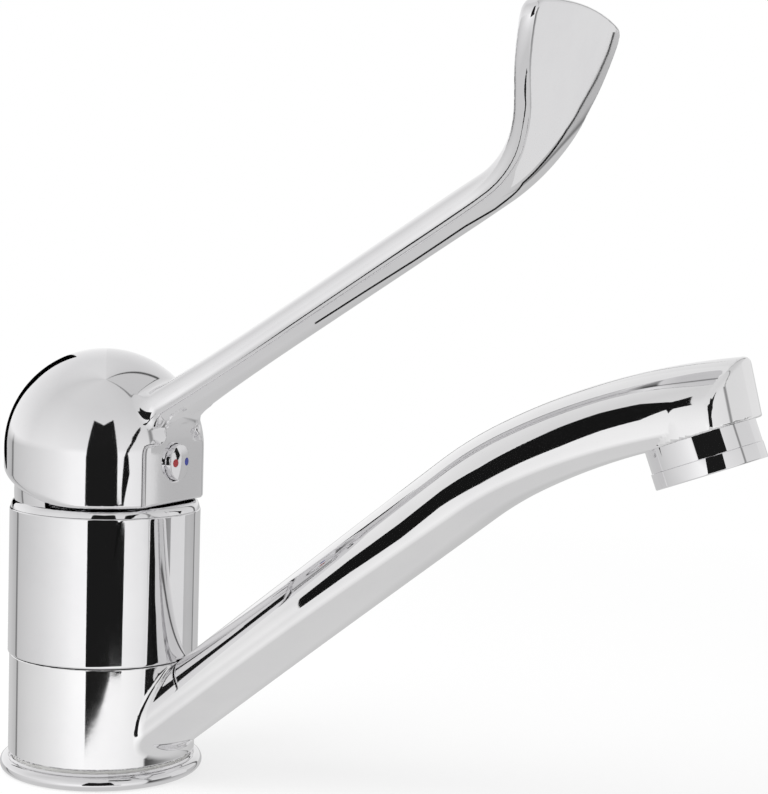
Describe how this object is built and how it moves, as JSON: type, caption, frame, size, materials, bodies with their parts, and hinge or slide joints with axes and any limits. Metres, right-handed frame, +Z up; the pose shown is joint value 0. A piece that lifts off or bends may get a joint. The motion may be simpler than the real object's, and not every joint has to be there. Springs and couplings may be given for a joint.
{
  "type": "elbow lever tap",
  "caption": "Chromed deck-mounted mixer tap with a domed hub, a long cranked elbow lever ending in a paddle, and a rising swivel spout with an angled aerator.",
  "frame": {"origin": "on the deck plane, on the axis of the column, at the middle of the foot ring's underside", "axes": "+Z up along the column, +X out over the sink along the spout and lever, -Y on the hot side, which is the user's left"},
  "size_m": [0.2026, 0.0554, 0.196],
  "materials": {
    "chrome": "polished",
    "seal_rubber": "matte",
    "white_plastic": "satin",
    "cartridge_plastic": "satin",
    "ceramic": "lapped",
    "brass": "machined",
    "steel": "plain",
    "red_enamel": "gloss",
    "blue_enamel": "gloss"
  },
  "bodies": {
    "column": {"main_body": "chrome", "base_flange": "chrome", "base_seal": "seal_rubber", "retaining_clip": "steel", "lower_glide_ring": "white_plastic", "upper_glide_ring": "white_plastic", "lower_swivel_seal": "seal_rubber", "upper_swivel_seal": "seal_rubber", "cartridge_base": "cartridge_plastic", "cartridge_seals": "seal_rubber", "fixed_ceramic_disc": "ceramic", "cartridge_housing": "cartridge_plastic", "cartridge_clamp_nut": "brass", "cover_cap": "chrome"},
    "spout": {"swivel_spout": "chrome", "aerator_housing": "chrome", "aerator_insert": "white_plastic", "aerator_screen": "steel", "aerator_washer": "seal_rubber"},
    "turret": {"cartridge_rotor": "cartridge_plastic", "lever_pivot_pin": "steel"},
    "lever": {"lever_handle": "chrome", "lever_spindle": "brass", "handle_grub_screw": "steel", "index_button": "chrome", "red_dot": "red_enamel", "blue_dot": "blue_enamel"},
    "discs": {"disc_carrier": "cartridge_plastic", "moving_ceramic_disc": "ceramic"}
  },
  "joints": [
    {"name": "spout_swivel", "type": "hinge", "parent": "column", "child": "spout", "pos_m": [0, 0, 0.018], "axis": [0, 0, 1], "continuous": true},
    {"name": "temperature_turn", "type": "hinge", "parent": "column", "child": "turret", "pos_m": [0, 0, 0.074], "axis": [0, 0, 1], "range_deg": [-50, 50]},
    {"name": "flow_lift", "type": "hinge", "parent": "turret", "child": "lever", "pos_m": [0, 0, 0.074], "axis": [0, -1, 0], "range_deg": [0, 15]},
    {"name": "disc_slide", "type": "slide", "parent": "turret", "child": "discs", "axis": [1, 0, 0], "range_m": [0, 0.0054]}
  ],
  "couplings": [
    {"joint": "disc_slide", "follows": "flow_lift", "m_per_rad": 0.0206}
  ]
}
